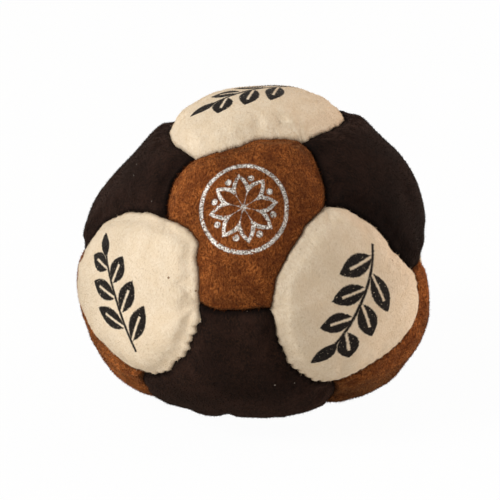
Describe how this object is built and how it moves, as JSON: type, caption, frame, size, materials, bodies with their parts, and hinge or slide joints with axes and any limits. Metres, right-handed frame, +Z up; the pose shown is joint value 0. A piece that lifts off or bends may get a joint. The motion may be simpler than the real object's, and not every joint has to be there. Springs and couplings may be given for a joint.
{
  "type": "footbag",
  "caption": "Round stitched suede footbag filled with sand, sewn from cream, brown and black-brown panels with turned-in seams, resting on its flattened underside.",
  "frame": {"origin": "middle of the bag's outline on the surface that it rests on", "axes": "+Z up, -Y towards the front where an upper brown panel faces, +X to the right seen from the front"},
  "size_m": [0.0572, 0.0574, 0.0518],
  "materials": {
    "cream_suede": "napped suede, matt, light cream",
    "brown_suede": "napped suede, matt, warm brown",
    "black_suede": "napped suede, matt, black-brown",
    "thread": "waxed polyester thread, dark",
    "sand": "dry fine sand, loose"
  },
  "bodies": {
    "root": {"cream_panel_top": "cream_suede", "cream_panel_bottom": "cream_suede", "cream_panel_front_left": "cream_suede", "cream_panel_front_right": "cream_suede", "cream_panel_back_right": "cream_suede", "cream_panel_back_left": "cream_suede", "brown_panel_upper_front": "brown_suede", "brown_panel_upper_back": "brown_suede", "brown_panel_lower_left": "brown_suede", "brown_panel_lower_right": "brown_suede", "black_panel_upper_left": "black_suede", "black_panel_upper_right": "black_suede", "black_panel_lower_front": "black_suede", "black_panel_lower_back": "black_suede", "thread_round_top": "thread", "thread_round_bottom": "thread", "thread_round_front_left": "thread", "thread_round_front_right": "thread", "thread_round_back_right": "thread", "thread_round_back_left": "thread", "thread_top_to_front_left": "thread", "thread_top_to_front_right": "thread", "thread_top_to_back_right": "thread", "thread_top_to_back_left": "thread", "thread_bottom_to_back_left": "thread", "thread_bottom_to_back_right": "thread", "thread_bottom_to_front_right": "thread", "thread_bottom_to_front_left": "thread", "thread_front_left_to_back_left": "thread", "thread_front_left_to_front_right": "thread", "thread_front_right_to_back_right": "thread", "thread_back_right_to_back_left": "thread", "sand_fill": "sand"}
  },
  "joints": []
}
